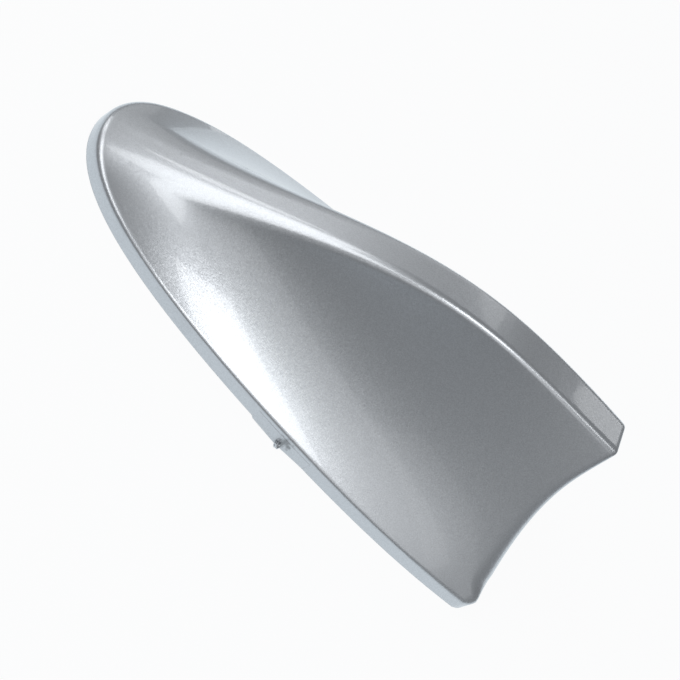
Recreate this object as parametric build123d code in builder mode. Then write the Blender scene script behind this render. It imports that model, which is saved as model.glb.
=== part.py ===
from build123d import *
import math
import os

os.makedirs("parts", exist_ok=True)

# Shark fin aerial: one moulded shell, hollow underneath, stuck to a car roof by its rim.
# X runs from the nose (minus) to the tail (plus), Z is up, the rim stands on Z = 0.

# Driving sizes, millimetres and degrees
length = 165.0
rim_height = 4.8
tail_half_width = 39.5
wall = 2.2
rim_wall = 3.2
tail_flare = 26.2
tail_flare_reach = 33.9
tail_rake = -4.4
tail_rake_reach = 15.0
tail_lean_in = 8.5
tail_corner_radius = 5.0
crease_bevel = 0.7
rib_thickness = 1.6
rib_lift = 4.0
rib_stations = [0.38, 0.70]

# Plan of the rim: bluntness of the nose, waist of the curve, run-out to the tail
nose_handle = 34.5
waist_x = -10.1
waist_half_width = 33.4
tail_run = 56.0
tail_toe_in = 5.6

# Ridge seen from the side: a gentle S up to the brow, then a long flat crown
nose_slope = 17.0
nose_rise_run = 26.0
brow_x = -19.6
brow_height = 38.3
brow_slope = 29.5
brow_run_front = 20.0
brow_run_back = 36.0
crown_x = 37.5
crown_height = 55.3
tail_drop = 1.0

# Along the length, nose 0 to tail 1: half-width of the flat strip on top, size of its
# rounded edges, and lean of the flanks from the vertical just under them
flat_curve = [(0, 1.0), (0.45, 2.4), (0.65, 6.0), (1, 3.3)]
round_curve = [(0, 3.2), (0.28, 7.7), (0.30, -0.6), (1, 1.9)]
lean_curve = [(0, 81), (0.15, 66), (0.30, -20), (0.60, 32), (1, 34)]

# Flanks: slope of the apron at the rim along the length, and how far the two ends of the
# flank's curve reach, hollow at the nose and nearly straight at the tail
apron_curve = [(0, 19), (0.40, 24), (0.60, 26), (1, 47)]
upper_reach_nose = 0.19
upper_reach_tail = 0.40
apron_reach_nose = 0.44
apron_reach_tail = 0.34

tail_top_height = crown_height - tail_drop
front = -length / 2
back = length / 2
overrun = 5.0
apron_overrun = 4.0
nose_zone = 7.0
nose_flare = 0.6
stations = [-1.0, 0.0, 0.04, 0.09, 0.15, 0.22, 0.29, 0.37, 0.48, 0.62, 0.77, 0.90, 1.0, 2.0]


def bezier_point(points, t):
    """Point of the Bezier curve of these control points at t, by repeated mixing."""
    row = [Vector(*p) for p in points]
    while len(row) > 1:
        row = [a + (b - a) * t for a, b in zip(row, row[1:])]
    return row[0]


def bezier_at(points, x):
    """Second coordinate, where it passes x, of a curve that always runs forward in X."""
    low, high = 0.0, 1.0
    for _ in range(50):
        mid = (low + high) / 2
        if bezier_point(points, mid).X < x:
            low = mid
        else:
            high = mid
    return bezier_point(points, low).Y


def slope(degrees):
    return math.tan(math.radians(degrees))


def rim_plan(margin):
    """Control points of half of the rim's plan, nose to tail, moved inwards by margin."""
    return [
        (front + margin, 0),
        (front + margin, nose_handle - margin),
        (waist_x, waist_half_width - margin),
        (back - tail_run, tail_half_width + tail_toe_in - margin),
        (back - margin, tail_half_width - margin),
    ]


plan = rim_plan(0)
nose_radius = 4 / 3 * nose_handle**2 / (waist_x - front)

# The ridge, a little past the shell at both ends
ridge_start = (front - overrun, rim_height - overrun * slope(nose_slope))
brow = (brow_x, brow_height)
ridge_front = [
    ridge_start,
    (ridge_start[0] + nose_rise_run, ridge_start[1] + nose_rise_run * slope(nose_slope)),
    (brow_x - brow_run_front, brow_height - brow_run_front * slope(brow_slope)),
    brow,
]
ridge_back = [
    brow,
    (brow_x + brow_run_back, brow_height + brow_run_back * slope(brow_slope)),
    (crown_x, crown_height),
    (back + overrun, tail_top_height),
]


def ridge(x):
    return bezier_at(ridge_front if x < brow_x else ridge_back, x)


def rim_half_width(x):
    return bezier_at(plan, min(x, back))


def half_section(x, inset):
    """Control points of half a cross-section at x: strip, rounded edge, flank and apron.

    inset moves the whole line inwards by about a wall's thickness, for the hollow, whose
    top corners are left square.
    """
    s = min(max((x - front) / length, 0.0), 1.0)
    top = ridge(x) - inset
    flat = bezier_at(flat_curve, s)
    outer_round = bezier_at(round_curve, s)
    lean = math.radians(bezier_at(lean_curve, s))
    down = Vector(math.sin(lean), -math.cos(lean))
    round_size = 0 if inset else outer_round
    corner = Vector(flat + outer_round - inset * math.cos(lean), top)
    a = Vector(corner.X - round_size, top)
    b = corner + down * round_size
    if x > front + nose_zone:
        # behind the nose the apron meets the rim at rim height, square to the plan
        rim_y = rim_half_width(x)
        turn = rim_half_width(x + 0.5) - rim_half_width(x - 0.5)
        fall = slope(bezier_at(apron_curve, s)) / math.hypot(1, turn)
        foot_z = rim_height
    else:
        # round the nose the apron is part of a cone about the tip's centre
        rim_y = rim_half_width(front + nose_zone) + nose_flare * (x - front - nose_zone)
        away = math.hypot(front + nose_radius - x, rim_y)
        fall = slope(nose_slope) * rim_y / away
        foot_z = rim_height - slope(nose_slope) * (away - nose_radius)
    out = Vector(1, -fall).normalized()
    foot = Vector(rim_y, foot_z - inset * math.hypot(1, fall)) + out * apron_overrun
    span = (foot - b).length
    upper_reach = upper_reach_nose + (upper_reach_tail - upper_reach_nose) * s
    apron_reach = apron_reach_nose + (apron_reach_tail - apron_reach_nose) * s
    c1 = b + down * span * upper_reach
    c2 = foot - out * span * apron_reach
    return [(p.X, p.Y) for p in (a, corner, b, c1, c2, foot)]


def station_x(s):
    if s < 0:
        return front - overrun
    if s > 1:
        return back + overrun
    return front + s * length


# The outer form and the hollow are the same build, the hollow one wall further in:
# cross-sections lofted from nose to tail, then trimmed to the rim's plan and to the tail
forms = []
hollow_stations = stations[::2] + stations[-1:]
for inset, margin, base, places in ((0, 0, 0, stations), (wall, rim_wall, -overrun, hollow_stations)):
    with BuildPart() as body:
        for s in places:
            x = station_x(s)
            a, corner, b, c1, c2, foot = half_section(x, inset)
            with BuildSketch(Plane.YZ.offset(x)):
                with BuildLine():
                    Line((0, a[1]), a)
                    if a != b:
                        Bezier(a, corner, b)
                    Bezier(b, c1, c2, foot)
                    Polyline(foot, (foot[0], base), (0, base))
                    mirror(about=Plane.YZ)
                make_face()
        loft()
        with BuildSketch(Plane.XY.offset(base)) as outline:
            with BuildLine():
                half = Bezier(*rim_plan(margin))
                Line(half @ 1, (back - margin, 0))
                mirror(about=Plane.XZ)
            make_face()
            fillet(outline.vertices().group_by(Axis.X)[-1], tail_corner_radius - margin)
        extrude(amount=crown_height + 2 * overrun, mode=Mode.INTERSECT)
        with BuildSketch(Plane.XZ) as side_view:
            with BuildLine():
                foot = (back - margin, rim_height)
                flare = (tail_flare_reach * slope(tail_flare), tail_flare_reach)
                high = (back - margin - tail_lean_in, tail_top_height + overrun)
                rake = (tail_rake_reach * slope(tail_rake), tail_rake_reach)
                Line((foot[0], base), foot)
                Bezier(
                    foot,
                    (foot[0] - flare[0], foot[1] + flare[1]),
                    (high[0] + rake[0], high[1] - rake[1]),
                    high,
                )
                Polyline(high, (front - overrun, high[1]), (front - overrun, base), (foot[0], base))
            make_face()
        extrude(amount=length, both=True, mode=Mode.INTERSECT)
    forms.append(body.part)

outer, inner = forms

# The hollow, with two stiffening ribs left standing across it
with BuildPart() as hollow:
    add(inner)
    rib_height = 2 * crown_height
    with Locations([(station_x(s), 0, rib_lift + rib_height / 2) for s in rib_stations]):
        Box(rib_thickness, 3 * tail_half_width, rib_height, mode=Mode.SUBTRACT)

# The shell: the form with a narrow bevel along its creases, less the hollow
with BuildPart() as fin_shell:
    add(outer)
    tall = fin_shell.faces().filter_by(lambda f: f.bounding_box().size.Z > rim_height / 2)
    long_ones = tall.filter_by(lambda f: f.bounding_box().size.X > length / 2)
    roof = long_ones.filter_by(lambda f: f.bounding_box().size.Z > 2 * rim_height)
    walls = [f for f in tall if f not in roof]
    wall_edges = [e for f in walls for e in f.edges()]
    crease = [e for e in roof.edges() if e in wall_edges]
    chamfer(crease, crease_bevel)
    add(hollow.part, mode=Mode.SUBTRACT)
fin_shell.part.label = "fin_shell"
export_step(fin_shell.part, "parts/fin_shell.step")
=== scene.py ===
# %% [markdown]
# A shark fin aerial cover is one hollow plastic moulding that sticks to a car roof by its rim. It is
# sprayed with silver metallic paint, which is fine aluminium flake, under a glossy clear coat. The
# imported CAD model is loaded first, because its box and its one node are the frame that everything
# added here has to keep to.

# %% Frame
import bpy
import numpy as np
from mathutils import Matrix, Vector

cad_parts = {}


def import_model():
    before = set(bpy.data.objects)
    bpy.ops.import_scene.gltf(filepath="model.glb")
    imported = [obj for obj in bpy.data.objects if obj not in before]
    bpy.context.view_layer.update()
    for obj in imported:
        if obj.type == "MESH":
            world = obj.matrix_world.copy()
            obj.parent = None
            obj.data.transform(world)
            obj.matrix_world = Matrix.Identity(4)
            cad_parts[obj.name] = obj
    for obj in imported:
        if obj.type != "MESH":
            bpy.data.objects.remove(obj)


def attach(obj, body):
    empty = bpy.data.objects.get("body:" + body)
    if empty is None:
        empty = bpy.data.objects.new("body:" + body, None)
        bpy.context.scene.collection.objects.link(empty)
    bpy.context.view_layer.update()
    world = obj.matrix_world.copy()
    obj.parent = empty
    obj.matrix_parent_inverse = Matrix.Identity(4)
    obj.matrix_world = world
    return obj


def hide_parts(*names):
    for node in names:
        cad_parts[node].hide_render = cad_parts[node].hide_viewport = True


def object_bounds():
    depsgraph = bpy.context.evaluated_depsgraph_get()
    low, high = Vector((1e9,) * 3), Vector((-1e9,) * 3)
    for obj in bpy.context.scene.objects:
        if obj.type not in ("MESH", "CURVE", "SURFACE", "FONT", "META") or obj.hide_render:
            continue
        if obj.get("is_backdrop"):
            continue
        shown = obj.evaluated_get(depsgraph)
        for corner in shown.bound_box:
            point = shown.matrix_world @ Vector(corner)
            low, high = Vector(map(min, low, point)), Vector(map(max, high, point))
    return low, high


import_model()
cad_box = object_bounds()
print("CAD box", cad_box)

# %% [markdown]
# The fin's sizes are the ones that its solid model was drawn from, in millimetres and degrees. One
# could take the CAD mesh as it is, but its facets would show as kinks in a mirror-like coat. With
# the same sizes and the same curves, the skin can be worked out again as smoothly as it is needed.

# %% Sizes
length, rim_height, tail_half_width, tail_corner_radius = 165.0, 4.8, 39.5, 5.0
wall, rim_wall, foot_round = 2.2, 3.2, 0.25
front, back, overrun, apron_overrun = -length / 2, length / 2, 5.0, 4.0
nose_handle, waist_x, waist_half_width, tail_run, tail_toe_in = 34.5, -10.1, 33.4, 56.0, 5.6
tail_flare, tail_flare_reach = 26.2, 33.9
tail_rake, tail_rake_reach, tail_lean_in = -4.4, 15.0, 8.5
nose_slope, nose_rise_run, nose_zone, nose_flare = 17.0, 26.0, 7.0, 0.6
brow_x, brow_height, brow_slope, brow_run_front, brow_run_back = -19.6, 38.3, 29.5, 20.0, 36.0
crown_x, crown_height, tail_drop = 37.5, 55.3, 1.0
tail_top_height = crown_height - tail_drop
flat_curve = [(0, 1.0), (0.45, 2.4), (0.65, 6.0), (1, 3.3)]
round_curve = [(0, 3.2), (0.28, 7.7), (0.30, -0.6), (1, 1.9)]
lean_curve = [(0, 81), (0.15, 66), (0.30, -20), (0.60, 32), (1, 34)]
apron_curve = [(0, 19), (0.40, 24), (0.60, 26), (1, 47)]
upper_reach_nose, upper_reach_tail = 0.19, 0.40
apron_reach_nose, apron_reach_tail = 0.44, 0.34
stations = np.array([0.0, 0.04, 0.09, 0.15, 0.22, 0.29, 0.37, 0.48, 0.62, 0.77, 0.90, 1.0])
station_x = np.concatenate([[front - overrun], front + stations * length, [back + overrun]])
print("fin", length, "mm long, crown at", crown_height, "mm")


# %% [markdown]
# Nearly every line of the fin is a Bezier curve: the rim's plan, the ridge, the tail's profile, and the
# slow changes along the length. Such a curve is easy to walk along by its own parameter, but a
# grid of points needs its height at a given x. Halving an interval finds that for a whole array
# at once, so no vertex needs a loop of its own.

# %% Curves
halvings = 40


def slope(degrees):
    """Rise of a line at this angle over one unit of its run: the angle's tangent."""
    return np.tan(np.radians(degrees))


def ease(share):
    """Share from 0 to 1 that starts and stops gently: three of its square less two of its cube."""
    share = np.clip(share, 0, 1)
    return share * share * (3 - 2 * share)


def bezier(points, t):
    """Point of a Bezier curve: neighbours are mixed by t, again and again, until one is left."""
    row = [np.asarray(p, float) for p in points]
    t = np.asarray(t, float)[..., None]
    while len(row) > 1:
        row = [a + (b - a) * t for a, b in zip(row, row[1:])]
    return row[0]


def halve(before, low, high):
    """Where a test that starts true turns false, found by halving the gap again and again."""
    for _ in range(halvings):
        mid = (low + high) / 2
        yes = before(mid)
        low, high = np.where(yes, mid, low), np.where(yes, high, mid)
    return low


def curve_at(points, x):
    """Second coordinate of a Bezier curve where its first one passes x."""
    x = np.asarray(x, float)
    t = halve(lambda mid: bezier(points, mid)[..., 0] < x, np.zeros_like(x), np.ones_like(x))
    return bezier(points, t)[..., 1]


print("strip's half-width at mid length", curve_at(flat_curve, 0.5).round(2), "mm")

# %% Plan and tail
tail_swell, tail_edge_rise, least_corner_radius = 0.7, 6.0, 0.5


def rim_half_width(x, margin=0.0):
    """Half of the rim's plan at x: a blunt-nosed Bezier curve, moved inwards by margin."""
    plan = [
        (front + margin, 0),
        (front + margin, nose_handle - margin),
        (waist_x, waist_half_width - margin),
        (back - tail_run, tail_half_width + tail_toe_in - margin),
        (back - margin, tail_half_width - margin),
    ]
    return curve_at(plan, np.minimum(x, back - margin))


def tail_x(z, margin):
    """Tail's face seen from the side: upright along the rim, then one hollow curve that leans in."""
    flare = (rim_height + tail_flare_reach, back - tail_flare_reach * slope(tail_flare))
    high = (tail_top_height + overrun, back - tail_lean_in)
    rake = (high[0] - tail_rake_reach, high[1] + tail_rake_reach * slope(tail_rake))
    swell = tail_swell * np.clip((z - rim_height) / tail_edge_rise, 0, 1) ** 2
    return curve_at([(rim_height, back), flare, rake, high], z) + swell - margin


def corner_x(y, margin):
    """Tail seen from above: straight across, with a round corner at each end."""
    r = np.maximum(tail_corner_radius - margin, least_corner_radius)
    toe = tail_toe_in / tail_run
    beyond = np.clip(np.abs(y) - (tail_half_width - margin + toe * r - r * np.hypot(1, toe)), 0, r)
    return back - margin - r + np.sqrt(r**2 - beyond**2)


def tail_limit(y, z, margin):
    """How far back the fin may reach: the nearer of the tail's face and its round corners."""
    return np.minimum(tail_x(z, margin), corner_x(y, margin))


print("tail leans in to x =", tail_x(np.array(tail_top_height), 0.0).round(1))

# %% [markdown]
# A real fin's skin is lofted: a designer draws cross-sections from nose to tail and runs one skin
# through them. Half a section here is a flat strip on top, a rounded edge, a flank that leaves
# the edge at its own lean, and an apron that lands on the rim at a set slope. Sections are
# described by six control points, so a skin through them is just a smooth curve through each.

# %% Cross-sections
ridge_start = np.array([front - overrun, rim_height - overrun * slope(nose_slope)])
ridge_front = [
    ridge_start,
    ridge_start + nose_rise_run * np.array([1, slope(nose_slope)]),
    (brow_x - brow_run_front, brow_height - brow_run_front * slope(brow_slope)),
    (brow_x, brow_height),
]
ridge_back = [
    (brow_x, brow_height),
    (brow_x + brow_run_back, brow_height + brow_run_back * slope(brow_slope)),
    (crown_x, crown_height),
    (back + overrun, tail_top_height),
]
nose_radius = 4 / 3 * nose_handle**2 / (waist_x - front)
plan_step = 0.5


def pair(y, z):
    """Points of a section from their widths and heights."""
    return np.stack(np.broadcast_arrays(y, z), -1)


def rate(outline, place, step):
    """Slope of one of the fin's outlines at a place: its change over a step to either side."""
    return (outline(place + step, 0) - outline(place - step, 0)) / (2 * step)


def half_section(x, inset):
    """Control points of half a cross-section: strip, rounded edge, leaning flank, apron."""
    s = np.clip((x - front) / length, 0, 1)
    top = np.where(x < brow_x, curve_at(ridge_front, x), curve_at(ridge_back, x)) - inset
    flat, edge = curve_at(flat_curve, s), curve_at(round_curve, s)
    lean = np.radians(curve_at(lean_curve, s))
    down = pair(np.sin(lean), -np.cos(lean))
    size = edge * (inset == 0)
    corner = pair(flat + edge - inset * np.cos(lean), top)
    a, b = corner - pair(size, 0 * size), corner + down * size[:, None]
    nose = x <= front + nose_zone
    flared = rim_half_width(front + nose_zone) + nose_flare * (x - front - nose_zone)
    rim_y = np.where(nose, flared, rim_half_width(x))
    away = np.hypot(front + nose_radius - x, rim_y)
    turn = rate(rim_half_width, x, plan_step)
    apron = slope(curve_at(apron_curve, s)) / np.hypot(1, turn)
    fall = np.where(nose, slope(nose_slope) * rim_y / away, apron)
    foot_z = rim_height - np.where(nose, slope(nose_slope) * (away - nose_radius), 0)
    out = pair(1 / np.hypot(1, fall), -fall / np.hypot(1, fall))
    foot = pair(rim_y, foot_z - inset * np.hypot(1, fall)) + out * apron_overrun
    span = np.linalg.norm(foot - b, axis=-1)[:, None]
    upper = (upper_reach_nose + (upper_reach_tail - upper_reach_nose) * s)[:, None] * span
    lower = (apron_reach_nose + (apron_reach_tail - apron_reach_nose) * s)[:, None] * span
    return np.stack([a, corner, b, b + down * upper, foot - out * lower, foot], 1)


print("sections", half_section(station_x, 0.0).shape)


# %% Skin through the sections
def spline(knots, values):
    """Smooth curve through values at knots: cubics whose slope and bend agree at each knot."""
    h = np.diff(knots)[:, None]
    n = len(knots)
    flat = values.reshape(n, -1)
    system = np.eye(n)
    inner = np.arange(1, n - 1)
    system[inner, inner - 1], system[inner, inner + 1] = h[:-1, 0], h[1:, 0]
    system[inner, inner] = 2 * (h[:-1, 0] + h[1:, 0])
    pull = np.zeros_like(flat)
    pull[1:-1] = 6 * np.diff(np.diff(flat, axis=0) / h, axis=0)
    bend = np.linalg.solve(system, pull)

    def at(x):
        """Value at x: the straight mix of the knots on either side, plus the share of their bends."""
        k = np.clip(np.searchsorted(knots, x) - 1, 0, n - 2)
        step = h[k]
        p = (knots[k + 1] - x)[..., None] / step
        q = 1 - p
        y = p * flat[k] + q * flat[k + 1]
        y = y + ((p**3 - p) * bend[k] + (q**3 - q) * bend[k + 1]) * step**2 / 6
        return y.reshape(x.shape + values.shape[1:])

    return at


sections = {inset: spline(station_x, half_section(station_x, inset)) for inset in (0.0, wall)}
outer_ends, hollow_ends, tiny = (0.2, 0.45), (0.25, 0.25), 1e-9


def section_point(points, s, inset):
    """Point of a half-section at s: strip first, then the rounded edge, then the flank."""
    first, second = hollow_ends if inset else outer_ends
    a, corner, b, c1, c2, foot = np.moveaxis(points, -2, 0)
    centre = a * (0, 1)
    strip = centre + (a - centre) * (s / first)[..., None]
    edge = bezier([a, corner, b], np.clip((s - first) / max(second - first, tiny), 0, 1))
    flank = bezier([b, c1, c2, foot], np.clip((s - second) / (1 - second), 0, 1))
    s = s[..., None]
    return np.where(s < first, strip, np.where(s < second, edge, flank))


def on_skin(x, v, inset, margin):
    """Skin's point at x, a share v of the way round from the ridge to the rim's plan."""
    points, reach = sections[inset](x), rim_half_width(x, margin)
    zero = np.zeros_like(x)
    s = halve(lambda mid: section_point(points, mid, inset)[..., 0] < reach, zero, zero + 1)
    return np.concatenate([x[..., None], section_point(points, s * v, inset)], -1)


print("skins", list(sections), "mm below the surface")

# %% [markdown]
# A painted moulding has no sharp edge: the rim's edge is slightly round, wider at the nose, and the
# tail's edges are rounder near the base than on top. A Bevel modifier could round them, but all
# by one size. So the skin stops short of the edge by a setback that changes along it, and a small
# Bezier arc, with its middle point on the sharp edge, carries the surface over to the wall. The
# grid's points crowd towards the nose's tip and towards the rim.

# %% Skin grid
columns, rows, tip_crowding, rim_crowding = 160, 80, 0.15, 0.25
rim_edge, nose_edge, nose_edge_run = 0.9, 1.9, 40.0
tail_edge_on_skin, tail_edge_on_face = (8.0, 2.0), (6.0, 0.9)
q = np.linspace(0, 1, columns)
along = q * q * (1 + tip_crowding) / (q + tip_crowding)
across = np.linspace(0, 1, rows + 1)
across = across * (1 + rim_crowding - rim_crowding * across**3)


def tail_edge(z, sizes):
    """Setback of the tail's round edge: the rim's own at the rim, soon wide, slim again on top."""
    low, high = sizes
    climb = np.clip((z - rim_height) / (tail_top_height - rim_height), 0, 1)
    return rim_edge + (low + (high - low) * climb - rim_edge) * ease((z - rim_height) / tail_edge_rise)


def nose_share(x):
    """How much of the nose's wider round is left at x: all at the tip, none after its run."""
    return ease(1 - (x - front) / nose_edge_run)


def skin(inset, margin, tail_margin):
    """Grid of the whole skin: columns from the nose's tip to the tail, rows from rim to rim."""
    def before(x):
        """Whether each row's point at x still lies ahead of the tail."""
        y, z = np.moveaxis(on_skin(x, across, inset, margin), -1, 0)[1:]
        return x < tail_limit(y, z, tail_margin(z))

    start = np.zeros(rows + 1)
    end = halve(before, start, start + back - margin)
    x = front + margin + (end - front - margin) * along[:, None]
    half = on_skin(x, across + 0 * x, inset, margin)
    return np.concatenate([half[:, :0:-1] * (1, -1, 1), half], 1)


def border(grid):
    """Closed line round a skin's edge: near rim, up and over the tail, back along the far rim."""
    return np.concatenate([grid[:, 0], grid[-1, 1:], grid[-2:0:-1, -1]])


slim, wide = (
    skin(0.0, size, lambda z: tail_edge(z, tail_edge_on_skin)) for size in (rim_edge, nose_edge)
)
outer = slim + (wide - slim) * nose_share(slim[..., :1])
hollow = skin(wall, rim_wall, lambda z: rim_wall)
crease = border(skin(0.0, 0.0, lambda z: 0.0))
count = len(crease)
print("skin", outer.shape, "edge line", count, "points")

# %% [markdown]
# The other end of each arc lies on the wall, one setback away from the sharp edge: straight down
# along the rim, and towards the middle of the tail's face where the edge climbs it. How steeply the
# edge climbs decides how much of either is taken, so the line turns from one to the other smoothly.

# %% Edge line on the wall
rake_step, climb_start, climb_range = 0.1, 0.1, 0.8
order = np.arange(count)
at_tail = (order >= columns) & (order <= columns + 2 * rows - 2)
cx, cy, cz = crease.T
ahead = np.roll(crease, -1, 0) - np.roll(crease, 1, 0)
ahead /= np.linalg.norm(ahead, axis=1)[:, None]
rake = rate(tail_x, cz, rake_step)
on_face = at_tail & (tail_x(cz, 0) <= corner_x(cy, 0))
level = np.stack([ahead[:, 1], -ahead[:, 0], 0 * rake], -1)
side = np.where(on_face[:, None], np.stack([1 + 0 * rake, 0 * rake, -rake], -1), level)
side /= np.linalg.norm(side, axis=1)[:, None]
rim_size = rim_edge + (nose_edge - rim_edge) * nose_share(cx)
setback = np.where(at_tail, tail_edge(cz, tail_edge_on_face), rim_size)[:, None]
climbs = np.clip((np.abs(ahead[:, 2:]) - climb_start) / climb_range, 0, 1) * at_tail[:, None]
across_tail = np.stack([0 * cy, -np.sign(cy), 0 * cy], -1)
sunk = crease + setback * (np.cross(ahead, side) * (1 - climbs) + across_tail * climbs)
sunk[:, 0] = np.where(at_tail, tail_limit(sunk[:, 1], sunk[:, 2], 0), sunk[:, 0])
print("edge round from", setback.min().round(2), "to", setback.max().round(2), "mm")

# %% [markdown]
# The shell is a single closed surface, as the moulding is: outer skin, round edge, wall, foot,
# inner wall and hollow. One could give a single skin its thickness with Solidify, but the rim's
# wall is thicker than the rest and its foot is level. So rings of points are laid between the two
# skins' edge lines, and neighbouring rings are joined by quads.

# %% Rings
edge_row_count, foot_row_count, corner_step = 11, 4, 0.05
near_edge_drops, near_foot_drops = [0, 0.01, 0.03], [0.88, 0.90, 0.92, 0.94]
even_drops, inner_drops = np.linspace(0.06, 0.86, 17), np.linspace(1, 0.04, 16)


def down_wall(line, margin, steps):
    """Wall under an edge line: each point drops to the floor, at the tail along the tail's curve."""
    z = line[:, 2] * (1 - np.asarray(steps))[:, None]
    x = np.where(at_tail, tail_limit(line[:, 1], z, margin), line[:, 0])
    return np.stack([x, line[:, 1] + 0 * z, z], -1)


edge_steps = np.linspace(0, 1, edge_row_count + 2)[1:-1, None] + np.zeros(count)
edge_rows = bezier([border(outer), crease, sunk], edge_steps)
drops = np.concatenate([near_edge_drops, even_drops, near_foot_drops])
wall_rows = down_wall(sunk, 0.0, drops)
foot = down_wall(sunk, 0.0, [1.0])[0]
ahead = np.roll(foot, -1, 0) - np.roll(foot, 1, 0)
bend = rate(corner_x, foot[:, 1], corner_step)
inward = np.where(at_tail, [0 * bend - 1, bend], [-ahead[:, 1], ahead[:, 0]])
inward = np.stack([*inward, 0 * bend], -1)
inward /= np.linalg.norm(inward, axis=1)[:, None]
turn_in = np.linspace(0, np.pi / 2, foot_row_count)[:, None, None]
foot_rows = foot + foot_round * (inward * (1 - np.cos(turn_in)) + (0, 0, 1) * (1 - np.sin(turn_in)))
inner_rows = down_wall(border(hollow), rim_wall, inner_drops)
ring = np.concatenate([edge_rows, wall_rows, foot_rows, inner_rows])
print("rings", ring.shape)

# %% Shell mesh
overspray_height, overspray_most, metres_per_mm = 7.0, 0.85, 0.001


def grid_quads(ids):
    """Four-sided faces of a grid of vertex numbers: each point with its three next neighbours."""
    return np.stack([ids[:-1, :-1], ids[1:, :-1], ids[1:, 1:], ids[:-1, 1:]], -1).reshape(-1, 4)


def skin_ids(first):
    """Vertex numbers of a skin's grid, whose first column is one shared point, the nose's tip."""
    ids = np.arange((columns - 1) * (2 * rows + 1)).reshape(columns - 1, -1) + first + 1
    return np.concatenate([np.full((1, 2 * rows + 1), first), ids])


def skin_points(grid):
    """Points of a skin's grid in the order of its vertex numbers, the nose's tip only once."""
    return np.concatenate([grid[:1, 0], grid[1:].reshape(-1, 3)])


def overspray(points):
    """Paint that drifts in under the rim: nearly full at the foot, gone a few millimetres up."""
    return overspray_most * np.clip(1 - points[..., 2] / overspray_height, 0, 1) ** 2


def make_piece(name, points, faces, sprayed):
    """Mesh from points in millimetres, with how fully each is sprayed kept as an attribute."""
    mesh = bpy.data.meshes.new(name)
    mesh.from_pydata(points * metres_per_mm, [], faces)
    mesh.attributes.new("sprayed", "FLOAT", "POINT").data.foreach_set("value", sprayed.ravel())
    mesh.validate()
    mesh.shade_smooth()
    piece = bpy.data.objects.new(name, mesh)
    bpy.context.scene.collection.objects.link(piece)
    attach(piece, "root")
    print(name, len(mesh.vertices), "points", len(mesh.polygons), "faces")
    return piece


outer_ids = skin_ids(0)
hollow_ids = skin_ids(outer_ids.max() + 1)
ring_ids = np.arange(ring.shape[0] * count).reshape(-1, count) + hollow_ids.max() + 1
edge_ids = [border(ids[..., None])[:, 0][None] for ids in (outer_ids, hollow_ids)]
band = np.concatenate([edge_ids[0], ring_ids, edge_ids[1]])
band = np.concatenate([band, band[:, :1]], 1)
quads = [grid_quads(outer_ids[1:]), grid_quads(band), grid_quads(hollow_ids[1:])[:, ::-1]]
tips = [np.stack([ids[0, 1:], ids[1, :-1], ids[1, 1:]], -1) for ids in (outer_ids, hollow_ids)]
tips[1] = tips[1][:, ::-1]
painted_rows = len(ring) - len(inner_rows)
sprayed = np.concatenate([
    np.ones(outer_ids.max() + 1),
    overspray(skin_points(hollow)),
    np.ones(painted_rows * count),
    overspray(inner_rows).ravel(),
])
points = np.concatenate([skin_points(outer), skin_points(hollow), ring.reshape(-1, 3)])
faces = [face for block in quads + tips for face in block.tolist()]
shell = make_piece("painted_shell", points, faces, sprayed)
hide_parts("fin_shell")

# %% [markdown]
# Two thin ribs cross the hollow and stiffen it. Each is a plate whose top runs along the hollow's
# roof, a little inside the skin, so that no gap shows. It is one loop of four lines, low and high on
# either side, closed at its two ends.

# %% Ribs
rib_thickness, rib_lift, rib_sink, rib_stations = 1.6, 4.0, 0.4, (0.38, 0.70)


def rib(name, station):
    """Plate across the hollow: its top follows the hollow's roof, its foot is level."""
    x = np.full(rows + 1, front + station * length)
    line = on_skin(x, across, wall, rim_wall)
    y, top = line[:, 1], np.maximum(line[:, 2], rib_lift) + rib_sink
    y, top = np.concatenate([-y[:0:-1], y]), np.concatenate([top[:0:-1], top])
    left, right = x[0] - rib_thickness / 2, x[0] + rib_thickness / 2
    low = np.full_like(y, rib_lift)
    corners = (left, top), (left, low), (right, low), (right, top)
    loops = np.concatenate([np.stack([0 * y + a, y, b], -1) for a, b in corners])
    ids = np.arange(len(loops)).reshape(4, -1)
    faces = grid_quads(ids[[0, 1, 2, 3, 0]])[:, ::-1].tolist()
    faces += [ids[:, 0].tolist(), ids[::-1, -1].tolist()]
    return make_piece(name, loops, faces, overspray(loops))


ribs = [rib("rib_front", rib_stations[0]), rib("rib_back", rib_stations[1])]

# %% [markdown]
# Plastic enters the mould through a gate, and on the near rim its stub was only snapped off: a
# thin ledge starts with a step, grows along the rim's foot, and fades out behind a torn nub. Both
# are tubes: rings of points along the rim, of a wedge for the ledge and of a lumpy circle for the
# nub, so the same few lines can close either of them.

# %% Gate ledge
gate_start, gate_step, gate_nub, gate_end = -4.0, 0.7, 6.2, 16.5
gate_reach, gate_height, gate_root, gate_lip = 0.9, 3.7, 0.4, 0.15
reach_at_step, least_reach, fade_power, face_power = 0.5, 0.01, 1.3, 1.4
ledge_rings, ledge_rows = 90, 14


def tube(name, x, out, z):
    """Closed piece from rings at x: out is how far the points stand proud of the rim's wall."""
    points = np.stack(np.broadcast_arrays(x, -(rim_half_width(x) + out), z), -1)
    ids = np.arange(points[..., 0].size).reshape(points.shape[:2])
    faces = grid_quads(np.concatenate([ids, ids[:, :1]], 1)).tolist()
    faces += [ids[0].tolist(), ids[-1, ::-1].tolist()]
    return make_piece(name, points.reshape(-1, 3), faces, np.ones(ids.size))


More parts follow.
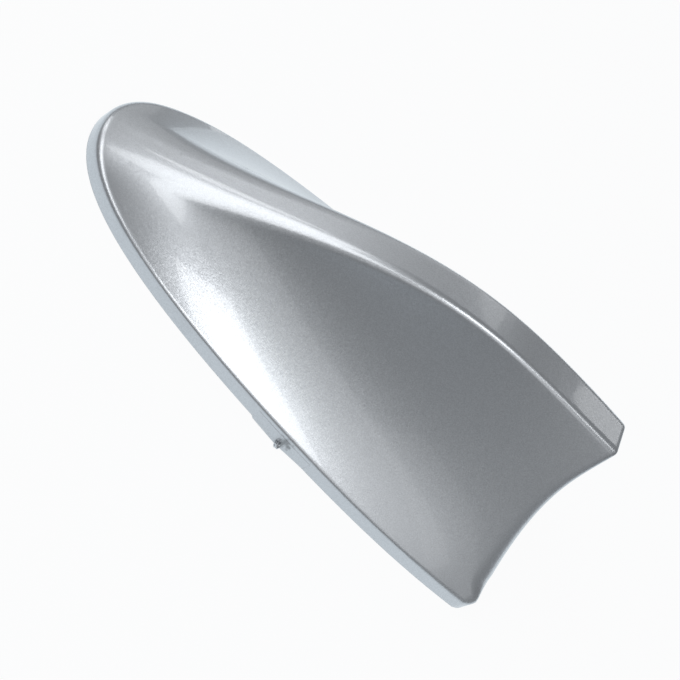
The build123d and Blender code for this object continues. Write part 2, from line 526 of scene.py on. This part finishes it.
x = np.linspace(gate_start, gate_end, ledge_rings)[:, None]
to_nub = (x - gate_start) / (gate_nub - gate_start)
stepped = ease((x - gate_start) / gate_step)
growing = stepped * np.clip(reach_at_step + (1 - reach_at_step) * to_nub, 0, 1)
fading = np.clip((gate_end - x) / (gate_end - gate_nub), 0, 1) ** fade_power
reach = np.maximum(gate_reach * growing * fading, least_reach)
climb = np.linspace(0, 1, ledge_rows)
face_out = reach * (1 - climb) ** face_power
face_z = gate_lip + (gate_height - gate_lip) * climb + 0 * x
rooted = np.full_like(x, -gate_root)
out = np.concatenate([rooted, reach - gate_lip, face_out, rooted], 1)
z = np.concatenate([0 * x, 0 * x, face_z, 0 * x + gate_height], 1)
ledge = tube("gate_ledge", x, out, z)

# %% Gate nub
nub_long, nub_out, nub_high, nub_centre = 1.0, 0.85, 0.85, 1.4
nub_rings, nub_end, nub_lift, nub_foot = 28, 0.985, 0.1, 0.02
big_lump, small_lump = 0.16, 0.10
u = np.linspace(-nub_end, nub_end, nub_rings)[:, None]
turn = np.linspace(0, 2 * np.pi, nub_rings, endpoint=False)
lumpy = 1 + big_lump * np.sin(3 * turn + 4 * u) + small_lump * np.sin(5 * turn - 3 * u + 1)
ball = np.sqrt(1 - u * u) * lumpy
out = nub_centre + nub_out * ball * np.cos(turn)
z = np.maximum(nub_high + nub_lift + nub_high * ball * np.sin(turn), nub_foot)
nub = tube("gate_nub", gate_nub + nub_long * u, out, z)

# %% [markdown]
# Metallic paint sparkles because each flake is a tiny mirror with a tilt and a brightness of its
# own. A noise texture would look cloudy, so cells are used: each cell of a Voronoi pattern has one
# random colour, which is read once as a glint and once as a tilt of the surface. As a group with
# a size and a tilt, the same grain also serves the bare moulding inside, coarser and duller.

# %% Grain group
def nodes_of(tree):
    """Two short helpers for this tree: one adds a node, the other joins two sockets."""
    def add(kind, **values):
        """New node of this kind with these settings."""
        node = tree.nodes.new(kind)
        for key, value in values.items():
            setattr(node, key, value)
        return node
    return add, tree.links.new


grain = bpy.data.node_groups.new("speckled_grain", "ShaderNodeTree")
for way, kind, name in (
    ("INPUT", "NodeSocketVector", "Place"),
    ("INPUT", "NodeSocketFloat", "Fineness"),
    ("INPUT", "NodeSocketFloat", "Tilt"),
    ("OUTPUT", "NodeSocketFloat", "Glint"),
    ("OUTPUT", "NodeSocketVector", "Normal"),
):
    grain.interface.new_socket(name, in_out=way, socket_type=kind)
add, join = nodes_of(grain)
given, result = add("NodeGroupInput"), add("NodeGroupOutput")
middle = (0.5, 0.5, 0.5)
cells = add("ShaderNodeTexVoronoi")
join(given.outputs["Place"], cells.inputs["Vector"])
join(given.outputs["Fineness"], cells.inputs["Scale"])
channels = add("ShaderNodeSeparateColor")
join(cells.outputs["Color"], channels.inputs["Color"])
join(channels.outputs["Red"], result.inputs["Glint"])
centred = add("ShaderNodeVectorMath", operation="SUBTRACT")
centred.inputs[1].default_value = middle
join(cells.outputs["Color"], centred.inputs[0])
tilted = add("ShaderNodeVectorMath", operation="SCALE")
join(centred.outputs[0], tilted.inputs[0])
join(given.outputs["Tilt"], tilted.inputs["Scale"])
facing = add("ShaderNodeNewGeometry")
leaning = add("ShaderNodeVectorMath", operation="ADD")
join(facing.outputs["Normal"], leaning.inputs[0])
join(tilted.outputs[0], leaning.inputs[1])
unit = add("ShaderNodeVectorMath", operation="NORMALIZE")
join(leaning.outputs[0], unit.inputs[0])
join(unit.outputs[0], result.inputs["Normal"])
print("grain group", len(grain.nodes), "nodes")

# %% [markdown]
# The finish is silver paint where the spray reached and bare grey plastic where it did not. Two
# materials with a hard border would miss the soft overspray under the rim, so one material mixes
# them by the attribute kept on the mesh. Three helpers come first: one use of the grain, a colour
# times some factors, and a value that runs from bare to painted.

# %% Paint helpers
coat_roughness = 0.05
colour_a, colour_b, colour_mixed = 6, 7, 2
paint = bpy.data.materials.new("silver_metallic_paint")
paint.use_nodes = True
add, join = nodes_of(paint.node_tree)
bsdf = paint.node_tree.nodes["Principled BSDF"]
bsdf.inputs["Coat Roughness"].default_value = coat_roughness
place = add("ShaderNodeTexCoord")
covered = add("ShaderNodeAttribute", attribute_name="sprayed")


def grained(fineness, tilt, dim, bright):
    """One use of the grain group, with its glint spread between two factors."""
    group = add("ShaderNodeGroup", node_tree=grain)
    group.inputs["Fineness"].default_value = fineness
    group.inputs["Tilt"].default_value = tilt
    join(place.outputs["Object"], group.inputs["Place"])
    spread = add("ShaderNodeMapRange")
    spread.inputs["To Min"].default_value = dim
    spread.inputs["To Max"].default_value = bright
    join(group.outputs["Glint"], spread.inputs["Value"])
    return group.outputs["Normal"], spread.outputs["Result"]


def toned(colour, *factors):
    """Colour times each factor in turn."""
    for factor in factors:
        mix = add("ShaderNodeMix", data_type="RGBA", blend_type="MULTIPLY")
        mix.inputs["Factor"].default_value = 1.0
        if isinstance(colour, tuple):
            mix.inputs[colour_a].default_value = colour
        else:
            join(colour, mix.inputs[colour_a])
        join(factor, mix.inputs[colour_b])
        colour = mix.outputs[colour_mixed]
    return colour


def by_cover(socket, bare, painted):
    """Value that runs from the bare plastic's to the paint's as the spray gets fuller."""
    ramp = add("ShaderNodeMapRange")
    ramp.inputs["To Min"].default_value = bare
    ramp.inputs["To Max"].default_value = painted
    join(covered.outputs["Fac"], ramp.inputs["Value"])
    join(ramp.outputs["Result"], bsdf.inputs[socket])


flake_normal, flake_glint = grained(fineness=4200, tilt=0.055, dim=0.92, bright=1.08)
mould_normal, mould_glint = grained(fineness=1500, tilt=0.25, dim=0.85, bright=1.15)
print("paint starts with", len(paint.node_tree.nodes), "nodes")

# %% [markdown]
# Beside the gate stub a torn spot is darker than the rest of the paint. A mask by the distance from
# it would have a perfectly round border, so some noise is added to the distance first.

# %% Gate scar
scar_place, scar_radius, scar_shade = (0.0078, -0.0386, 0.0027), 0.0024, 0.40
scar_patches, scar_raggedness = 900, 0.0045
gap = add("ShaderNodeVectorMath", operation="DISTANCE")
gap.inputs[1].default_value = scar_place
join(place.outputs["Object"], gap.inputs[0])
patchy = add("ShaderNodeTexNoise")
patchy.inputs["Scale"].default_value = scar_patches
join(place.outputs["Object"], patchy.inputs["Vector"])
ragged = add("ShaderNodeMath", operation="MULTIPLY_ADD")
ragged.inputs[1].default_value = scar_raggedness
join(patchy.outputs["Fac"], ragged.inputs[0])
join(gap.outputs["Value"], ragged.inputs[2])
scar = add("ShaderNodeMapRange", interpolation_type="SMOOTHSTEP")
scar.inputs["From Min"].default_value = scar_radius
scar.inputs["From Max"].default_value = 2 * scar_radius
scar.inputs["To Min"].default_value = scar_shade
join(ragged.outputs[0], scar.inputs["Value"])
print("scar at", scar_place, "with radius", scar_radius, "m")

# %% [markdown]
# Now the two finishes are mixed. Paint looks like metal under a coat and plastic does not, so the
# colour, metallic share, roughness, coat and tilt of the grain all follow the same attribute.

# %% Paint and plastic
silver, plastic = (0.56, 0.575, 0.595, 1), (0.20, 0.205, 0.21, 1)
vector_a, vector_b, vector_mixed = 4, 5, 1
coloured = add("ShaderNodeMix", data_type="RGBA")
join(covered.outputs["Fac"], coloured.inputs["Factor"])
join(toned(plastic, mould_glint), coloured.inputs[colour_a])
join(toned(silver, flake_glint, scar.outputs["Result"]), coloured.inputs[colour_b])
join(coloured.outputs[colour_mixed], bsdf.inputs["Base Color"])
by_cover("Metallic", bare=0.0, painted=1.0)
by_cover("Roughness", bare=0.55, painted=0.34)
by_cover("Coat Weight", bare=0.0, painted=1.0)
surface = add("ShaderNodeMix", data_type="VECTOR")
join(covered.outputs["Fac"], surface.inputs["Factor"])
join(mould_normal, surface.inputs[vector_a])
join(flake_normal, surface.inputs[vector_b])
join(surface.outputs[vector_mixed], bsdf.inputs["Normal"])
print("paint", len(paint.node_tree.nodes), "nodes")

# %% [markdown]
# A sprayed clear coat is never quite level, and its ripples are what bends the edges of reflections.
# As geometry they would need a far finer mesh, so two bumps are chained, long waves and faint short
# ones, and they tilt the coat alone, not the flakes under it.

# %% Clear coat
peel_waves, peel_depth, peel = ((55, 0.12), (260, 0.018)), 0.0005, None
pieces = [shell, ledge, nub] + ribs
for scale, strength in peel_waves:
    ripple = add("ShaderNodeTexNoise")
    ripple.inputs["Scale"].default_value = scale
    join(place.outputs["Object"], ripple.inputs["Vector"])
    bump = add("ShaderNodeBump")
    bump.inputs["Strength"].default_value = strength
    bump.inputs["Distance"].default_value = peel_depth
    join(ripple.outputs["Fac"], bump.inputs["Height"])
    if peel:
        join(peel.outputs["Normal"], bump.inputs["Normal"])
    peel = bump
join(peel.outputs["Normal"], bsdf.inputs["Coat Normal"])
for piece in pieces:
    piece.data.materials.append(paint)
print("painted", [piece.name for piece in pieces])

# %% [markdown]
# The fin lies on plain white. If lamps made the floor white they would also burn out the paint,
# so the floor glows by itself for the camera and for reflections, a little cooler there, and stays
# an ordinary pale surface for all other light. A small share of that shows, with a faint shadow.
# In front, reflections find a dim room past the end of the white sheet: that is what draws the
# dark band along the top of the flank.

# %% Floor
floor_half, floor_drop, floor_colour = 30.0, 2e-4, (0.82, 0.89, 0.97, 1)
floor_camera_share, floor_mirror_share = 0.94, 0.95
sheet_end, sheet_fade, pure_white = -0.36, 0.2, (1, 1, 1, 1)
cool_white, dim_room = (0.88, 0.95, 1.0, 1), (0.16, 0.17, 0.19, 1)


def ray_share(add, join, camera_share, mirror_share):
    """Share of a glow that a ray sees: one for the camera, another for mirrors and for glass."""
    rays = add("ShaderNodeLightPath")
    mirrored = add("ShaderNodeMath", operation="MAXIMUM")
    join(rays.outputs["Is Glossy Ray"], mirrored.inputs[0])
    join(rays.outputs["Is Transmission Ray"], mirrored.inputs[1])
    either = add("ShaderNodeMath", operation="MAXIMUM")
    pairs = (rays.outputs["Is Camera Ray"], camera_share), (mirrored.outputs[0], mirror_share)
    for socket, (ray, amount) in zip(either.inputs, pairs):
        share = add("ShaderNodeMath", operation="MULTIPLY")
        share.inputs[1].default_value = amount
        join(ray, share.inputs[0])
        join(share.outputs[0], socket)
    return rays, either.outputs[0]


corners = np.array([(-1, -1), (1, -1), (1, 1), (-1, 1)]) * floor_half
floor_mesh = bpy.data.meshes.new("floor")
floor_mesh.from_pydata(np.insert(corners, 2, -floor_drop, 1), [], [(0, 1, 2, 3)])
floor = bpy.data.objects.new("floor", floor_mesh)
bpy.context.scene.collection.objects.link(floor)
floor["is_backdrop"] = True
white = bpy.data.materials.new("pale_floor")
white.use_nodes = True
add, join = nodes_of(white.node_tree)
lit = white.node_tree.nodes["Principled BSDF"]
lit.inputs["Base Color"].default_value = floor_colour
lit.inputs["Specular IOR Level"].default_value = 0.0
glow = add("ShaderNodeEmission")
seen, glow_share = ray_share(add, join, floor_camera_share, floor_mirror_share)
place = add("ShaderNodeTexCoord")
along_y = add("ShaderNodeSeparateXYZ")
join(place.outputs["Object"], along_y.inputs["Vector"])
sheet = add("ShaderNodeMapRange", interpolation_type="SMOOTHSTEP")
sheet.inputs["From Min"].default_value = sheet_end
sheet.inputs["From Max"].default_value = sheet_end + sheet_fade
join(along_y.outputs["Y"], sheet.inputs["Value"])
nearby = add("ShaderNodeMix", data_type="RGBA")
nearby.inputs[colour_a].default_value = dim_room
nearby.inputs[colour_b].default_value = cool_white
join(sheet.outputs["Result"], nearby.inputs["Factor"])
tint = add("ShaderNodeMix", data_type="RGBA")
tint.inputs[colour_a].default_value = pure_white
join(seen.outputs["Is Glossy Ray"], tint.inputs["Factor"])
join(nearby.outputs[colour_mixed], tint.inputs[colour_b])
join(tint.outputs[colour_mixed], glow.inputs["Color"])
blend = add("ShaderNodeMixShader")
join(glow_share, blend.inputs[0])
join(lit.outputs[0], blend.inputs[1])
join(glow.outputs[0], blend.inputs[2])
join(blend.outputs[0], white.node_tree.nodes["Material Output"].inputs["Surface"])
floor_mesh.materials.append(white)
print("floor", 2 * floor_half, "m wide")

# %% [markdown]
# Silver paint is mostly what it reflects, so the light is a set of soft boxes round the fin and
# a dim even sky between them. A big lamp close by gives a broad highlight, a small one an edge
# line. Each box is placed by its bearing and height as seen from the fin, and its level says how
# bright its face looks, so boxes of different sizes can be compared. Seen straight, past the
# floor's end, the sky is nearly white like the floor, and reflections get a tenth of that white
# mixed into the dim sky.

# %% Sky
sky_colour, sky_strength = (0.9, 0.95, 1.0, 1), 0.20
sky_camera_share, sky_mirror_share = 0.98, 0.10
world = bpy.data.worlds.new("studio")
bpy.context.scene.world = world
world.use_nodes = True
add, join = nodes_of(world.node_tree)
sky = world.node_tree.nodes["Background"]
sky.inputs["Color"].default_value = sky_colour
sky.inputs["Strength"].default_value = sky_strength
backdrop = add("ShaderNodeBackground")
backdrop.inputs["Color"].default_value = pure_white
blend = add("ShaderNodeMixShader")
join(ray_share(add, join, sky_camera_share, sky_mirror_share)[1], blend.inputs[0])
join(sky.outputs[0], blend.inputs[1])
join(backdrop.outputs[0], blend.inputs[2])
join(blend.outputs[0], world.node_tree.nodes["World Output"].inputs["Surface"])
print("sky", sky_strength, "strong")

# %% Soft boxes
lamp_colour = (0.97, 0.985, 1.0)


def softbox(name, bearing, height, away, wide, tall, level):
    """Flat lamp that faces the fin: its power is pi times its area times how bright it looks."""
    lamp = bpy.data.lights.new(name, "AREA")
    lamp.shape, lamp.size, lamp.size_y = "RECTANGLE", wide, tall
    lamp.energy = np.pi * wide * tall * level
    lamp.color = lamp_colour
    holder = bpy.data.objects.new(name, lamp)
    bpy.context.scene.collection.objects.link(holder)
    turn, lift = np.radians([bearing, height])
    way = Vector((np.cos(turn) * np.cos(lift), np.sin(turn) * np.cos(lift), np.sin(lift)))
    holder.location = way * away
    holder.rotation_euler = way.to_track_quat("Z", "Y").to_euler()
    holder.visible_camera = False
    return holder


boxes = [
    softbox("key_softbox", -74, 63, 1.0, 0.42, 0.32, 3.5),
    softbox("side_wash", -80, 42, 1.0, 0.95, 0.40, 0.55),
    softbox("side_low", -58, 28, 1.0, 0.50, 0.20, 0.32),
    softbox("nose_softbox", 166, 50, 1.0, 0.50, 0.34, 2.3),
    softbox("nose_left_panel", -148, 52, 1.0, 0.50, 0.32, 2.2),
    softbox("nose_edge_panel", 134, 38, 1.0, 0.13, 0.17, 3.0),
    softbox("low_nose_panel", 142, 27, 1.0, 0.30, 0.30, 1.7),
    softbox("far_wash", 96, 32, 1.0, 0.80, 0.65, 0.34),
    softbox("far_card", 70, 2, 1.0, 0.60, 0.07, 1.2),
    softbox("strip_panel", 75, 45, 1.2, 0.16, 0.16, 1.0),
    softbox("tail_panel", 48, 34, 1.2, 0.10, 0.14, 2.0),
    softbox("edge_panel", -22, 54, 1.0, 0.22, 0.16, 2.2),
]
print("lamps", [box.name for box in boxes])

# %% [markdown]
# The photograph looks down on the fin from its nose and near side, turned so that the fin lies
# across the frame. The camera is set by its bearing, height and roll, the point that it aims at,
# its distance, and how many pixels a millimetre has at the aim. Fitted together, they bring the
# fin's outline close to where the photograph has it.

# %% Camera
phi, lift, roll = np.radians([30.0, 43.223, 65.076])
aim, distance, pixels_per_mm = Vector((0.007847, 0, 0.005255)), 0.5, 3.5874
frame_pixels, sensor = 680, 36
toward = Vector((-np.sin(phi) * np.cos(lift), -np.cos(phi) * np.cos(lift), np.sin(lift)))
right = Vector((np.cos(phi), -np.sin(phi), 0))
up = Vector((np.sin(phi) * np.sin(lift), np.cos(phi) * np.sin(lift), np.cos(lift)))
lens = bpy.data.cameras.new("camera")
lens.sensor_width = sensor
lens.lens = pixels_per_mm * distance / metres_per_mm / frame_pixels * sensor
camera = bpy.data.objects.new("camera", lens)
bpy.context.scene.collection.objects.link(camera)
across_frame = right * np.cos(roll) + up * np.sin(roll)
up_frame = up * np.cos(roll) - right * np.sin(roll)
turned = Matrix((across_frame, up_frame, toward))
camera.matrix_world = Matrix.Translation(aim + toward * distance) @ turned.transposed().to_4x4()
bpy.context.scene.camera = camera
bpy.context.scene.view_settings.view_transform = "Standard"
print("lens", round(lens.lens, 1), "mm")

# %% [markdown]
# Last, the CAD model's box and the finished model's box are printed side by side, so that the two
# sizes can be set against each other. The looks may not change the size of the part.

# %% Finish
both = {"cad": cad_box, "visual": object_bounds()}
both = {name: [list(map(float, corner)) for corner in box] for name, box in both.items()}
print(both)
